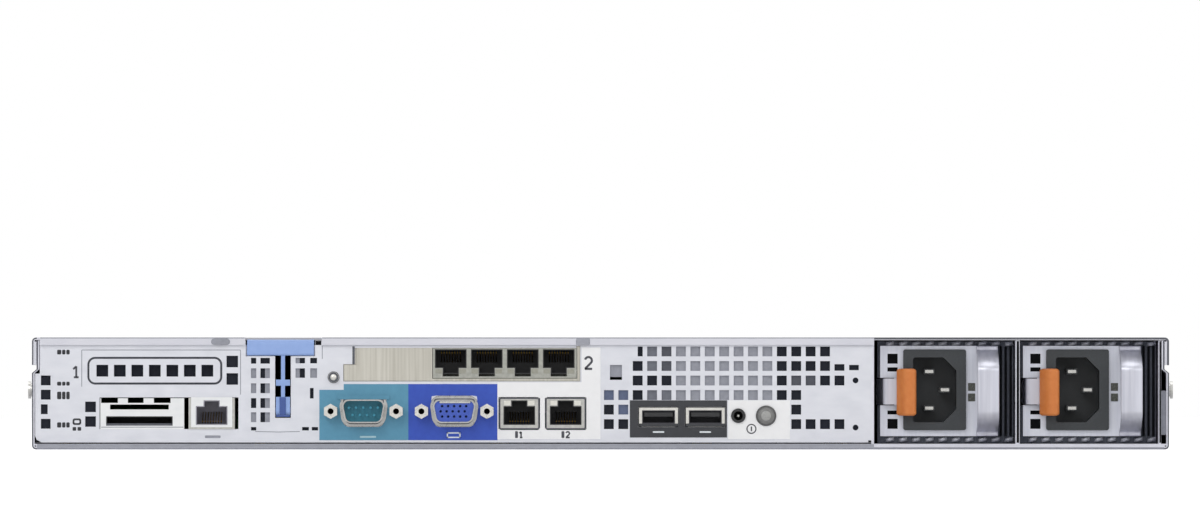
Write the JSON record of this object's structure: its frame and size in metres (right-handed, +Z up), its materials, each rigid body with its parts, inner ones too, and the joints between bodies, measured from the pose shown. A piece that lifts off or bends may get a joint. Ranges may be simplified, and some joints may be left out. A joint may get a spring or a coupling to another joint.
{
  "type": "rack server",
  "caption": "Low, wide rack server with a perforated rear wall of ports, plug-in power supplies with strap handles, sliding lid, fans, and hot-swap drives behind a vented front strip.",
  "frame": {"origin": "middle of the underside, midway between the rearmost strap handles and the front grips", "axes": "+X to the right seen from the rear, +Y from the rear wall towards the front, +Z up"},
  "size_m": [0.4826, 0.6194, 0.0428],
  "materials": {
    "zinc_steel": "bright zinc-plated sheet, faintly violet",
    "rear_sheet": "bright zinc-plated sheet",
    "jack_shield": "tinned steel shield",
    "nickel_bracket": "warm nickel plate with upright brushing",
    "nickel_shell": "bright nickel plate",
    "green_board": "solder mask on glass laminate",
    "teal_plastic": "moulded insulator",
    "blue_plastic": "moulded insulator",
    "black_plastic": "moulded, fine grain",
    "grey_button": "moulded translucent grey",
    "pale_blue_plastic": "moulded touch point",
    "brass_post": "turned brass",
    "fin_aluminium": "extruded or cast",
    "black_steel": "satin black coat",
    "orange_plastic": "moulded touch point"
  },
  "bodies": {
    "chassis": {"base_tray": "zinc_steel", "psu_bay_walls": "zinc_steel", "rail_studs": "zinc_steel", "slot_1_blank": "zinc_steel", "media_slot": "zinc_steel", "drive_cage": "zinc_steel", "rear_wall": "rear_sheet", "ethernet_jacks": "jack_shield", "network_jacks": "jack_shield", "usb_ports": "jack_shield", "network_bracket": "nickel_bracket", "network_card": "green_board", "serial_shell": "nickel_shell", "video_shell": "nickel_shell", "rear_screws": "nickel_shell", "serial_core": "teal_plastic", "video_core": "blue_plastic", "id_jack": "black_plastic", "motherboard": "green_board", "board_standoffs": "brass_post", "heatsink": "fin_aluminium", "memory_modules": "green_board", "riser_cards": "green_board", "air_shroud": "black_plastic", "fan_frames": "black_plastic", "power_board": "green_board", "backplane": "green_board", "control_panel": "black_steel", "rack_ears": "black_steel"},
    "cover": {"top_cover": "zinc_steel"},
    "cover_lever": {"cover_latch": "black_plastic"},
    "id_button": {"id_button": "grey_button"},
    "power_button": {"power_button": "grey_button"},
    "card_latch": {"card_latch": "pale_blue_plastic"},
    "psu_1": {"psu_1_case": "black_steel", "psu_1_face": "zinc_steel", "psu_1_inlet": "black_plastic", "psu_1_handle": "zinc_steel"},
    "psu_1_catch": {"psu_1_latch": "orange_plastic"},
    "psu_2": {"psu_2_case": "black_steel", "psu_2_face": "zinc_steel", "psu_2_inlet": "black_plastic", "psu_2_handle": "zinc_steel"},
    "psu_2_catch": {"psu_2_latch": "orange_plastic"},
    "fan_rotor_1": {"fan_rotor_1": "black_plastic"},
    "fan_rotor_2": {"fan_rotor_2": "black_plastic"},
    "fan_rotor_3": {"fan_rotor_3": "black_plastic"},
    "fan_rotor_4": {"fan_rotor_4": "black_plastic"},
    "drive_1": {"drive_1_carrier": "black_steel", "drive_1_disk": "fin_aluminium"},
    "drive_1_grip": {"drive_1_handle": "black_plastic"},
    "drive_2": {"drive_2_carrier": "black_steel", "drive_2_disk": "fin_aluminium"},
    "drive_2_grip": {"drive_2_handle": "black_plastic"},
    "drive_3": {"drive_3_carrier": "black_steel", "drive_3_disk": "fin_aluminium"},
    "drive_3_grip": {"drive_3_handle": "black_plastic"},
    "drive_4": {"drive_4_carrier": "black_steel", "drive_4_disk": "fin_aluminium"},
    "drive_4_grip": {"drive_4_handle": "black_plastic"}
  },
  "joints": [
    {"name": "cover_slide", "type": "slide", "parent": "chassis", "child": "cover", "axis": [0, -1, 0], "range_m": [0, 0.012]},
    {"name": "cover_latch_turn", "type": "hinge", "parent": "cover", "child": "cover_lever", "pos_m": [0, 0.11635, 0.0405], "axis": [-1, 0, 0], "range_deg": [0, 75]},
    {"name": "id_button_push", "type": "slide", "parent": "chassis", "child": "id_button", "axis": [0, 1, 0], "range_m": [0, 0.0008], "stiffness_N_per_m": 400, "springref_m": -0.001},
    {"name": "power_button_push", "type": "slide", "parent": "chassis", "child": "power_button", "axis": [0, -1, 0], "range_m": [0, 0.0006], "stiffness_N_per_m": 400, "springref_m": -0.001},
    {"name": "card_latch_swing", "type": "hinge", "parent": "chassis", "child": "card_latch", "pos_m": [-0.1212, -0.29665, 0.015], "axis": [1, 0, 0], "range_deg": [0, 75]},
    {"name": "psu_1_slide", "type": "slide", "parent": "chassis", "child": "psu_1", "axis": [0, -1, 0], "range_m": [0, 0.205]},
    {"name": "psu_1_catch_flex", "type": "hinge", "parent": "psu_1", "child": "psu_1_catch", "pos_m": [0.1083, -0.24765, 0.02215], "axis": [0, 0, 1], "range_deg": [0, 4], "stiffness_Nm_per_rad": 6, "springref_deg": -1.15},
    {"name": "psu_2_slide", "type": "slide", "parent": "chassis", "child": "psu_2", "axis": [0, -1, 0], "range_m": [0, 0.205]},
    {"name": "psu_2_catch_flex", "type": "hinge", "parent": "psu_2", "child": "psu_2_catch", "pos_m": [0.1629, -0.24765, 0.02215], "axis": [0, 0, 1], "range_deg": [0, 4], "stiffness_Nm_per_rad": 6, "springref_deg": -1.15},
    {"name": "fan_1_spin", "type": "hinge", "parent": "chassis", "child": "fan_rotor_1", "pos_m": [-0.156, 0.05235, 0.021], "axis": [0, 1, 0], "continuous": true},
    {"name": "fan_2_spin", "type": "hinge", "parent": "chassis", "child": "fan_rotor_2", "pos_m": [-0.052, 0.05235, 0.021], "axis": [0, 1, 0], "continuous": true},
    {"name": "fan_3_spin", "type": "hinge", "parent": "chassis", "child": "fan_rotor_3", "pos_m": [0.052, 0.05235, 0.021], "axis": [0, 1, 0], "continuous": true},
    {"name": "fan_4_spin", "type": "hinge", "parent": "chassis", "child": "fan_rotor_4", "pos_m": [0.156, 0.05235, 0.021], "axis": [0, 1, 0], "continuous": true},
    {"name": "drive_1_slide", "type": "slide", "parent": "chassis", "child": "drive_1", "axis": [0, 1, 0], "range_m": [0, 0.155]},
    {"name": "drive_1_handle_swing", "type": "hinge", "parent": "drive_1", "child": "drive_1_grip", "pos_m": [-0.2081, 0.30765, 0.015], "axis": [0, 0, 1], "range_deg": [0, 70]},
    {"name": "drive_2_slide", "type": "slide", "parent": "chassis", "child": "drive_2", "axis": [0, 1, 0], "range_m": [0, 0.155]},
    {"name": "drive_2_handle_swing", "type": "hinge", "parent": "drive_2", "child": "drive_2_grip", "pos_m": [-0.1001, 0.30765, 0.015], "axis": [0, 0, 1], "range_deg": [0, 70]},
    {"name": "drive_3_slide", "type": "slide", "parent": "chassis", "child": "drive_3", "axis": [0, 1, 0], "range_m": [0, 0.155]},
    {"name": "drive_3_handle_swing", "type": "hinge", "parent": "drive_3", "child": "drive_3_grip", "pos_m": [0.0079, 0.30765, 0.015], "axis": [0, 0, 1], "range_deg": [0, 70]},
    {"name": "drive_4_slide", "type": "slide", "parent": "chassis", "child": "drive_4", "axis": [0, 1, 0], "range_m": [0, 0.155]},
    {"name": "drive_4_handle_swing", "type": "hinge", "parent": "drive_4", "child": "drive_4_grip", "pos_m": [0.1159, 0.30765, 0.015], "axis": [0, 0, 1], "range_deg": [0, 70]}
  ],
  "couplings": [
    {"joint": "cover_latch_turn", "follows": "cover_slide", "rad_per_m": 109.08}
  ]
}
